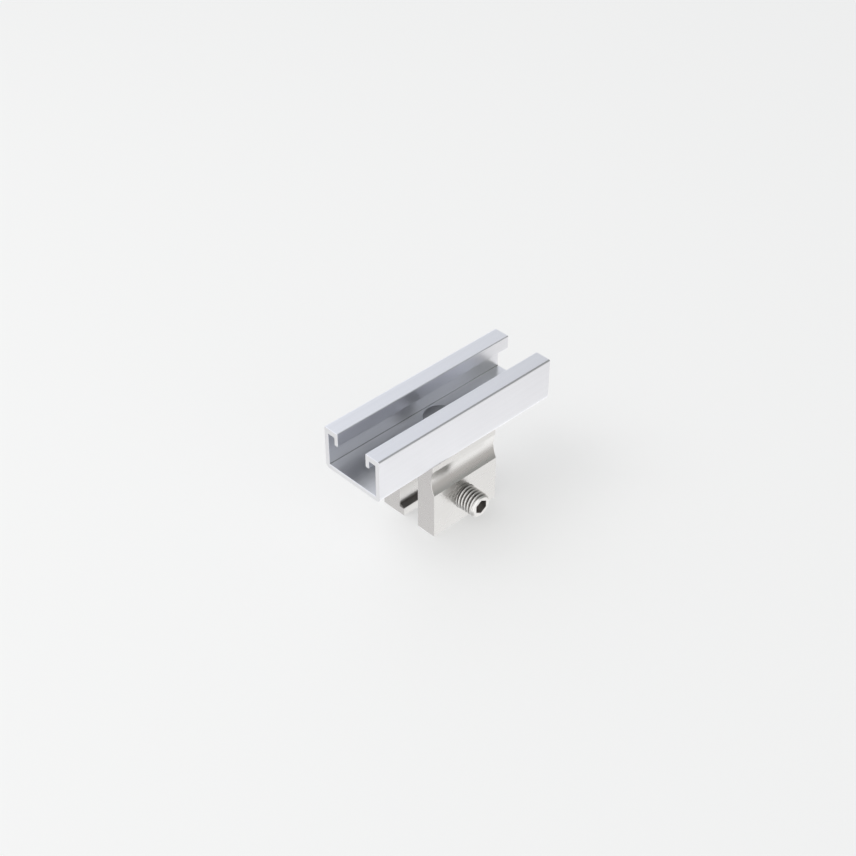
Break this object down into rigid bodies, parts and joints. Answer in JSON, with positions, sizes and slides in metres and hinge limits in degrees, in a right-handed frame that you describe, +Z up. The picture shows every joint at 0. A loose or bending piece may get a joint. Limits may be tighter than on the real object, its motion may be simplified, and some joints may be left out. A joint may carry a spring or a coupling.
{
  "type": "standing seam clamp",
  "caption": "Roof seam clamp with a set screw through one leg and a short slotted channel rail screwed across its top.",
  "frame": {"origin": "in the mouth of the seam gap, at mid-length, under the clamp's middle plane, level with the feet", "axes": "+X along the roof seam and the rail, -Y the side of the set screw, +Z up from the roof to the rail's open slot"},
  "size_m": [0.088, 0.037, 0.0526],
  "materials": {
    "rail_aluminium": "mill-finish extrusion, fine lengthwise lines",
    "clamp_stainless": "smooth satin stainless steel",
    "screw_stainless": "rolled thread, plain stainless steel",
    "rail_screw_steel": "dark turned steel"
  },
  "bodies": {
    "clamp": {"clamp_body": "clamp_stainless", "rail": "rail_aluminium", "rail_screw": "rail_screw_steel"},
    "set_screw": {"set_screw": "screw_stainless"}
  },
  "joints": [
    {"name": "set_screw_travel", "type": "slide", "parent": "clamp", "child": "set_screw", "axis": [0, 1, 0], "range_m": [-0.003, 0.0105]}
  ]
}
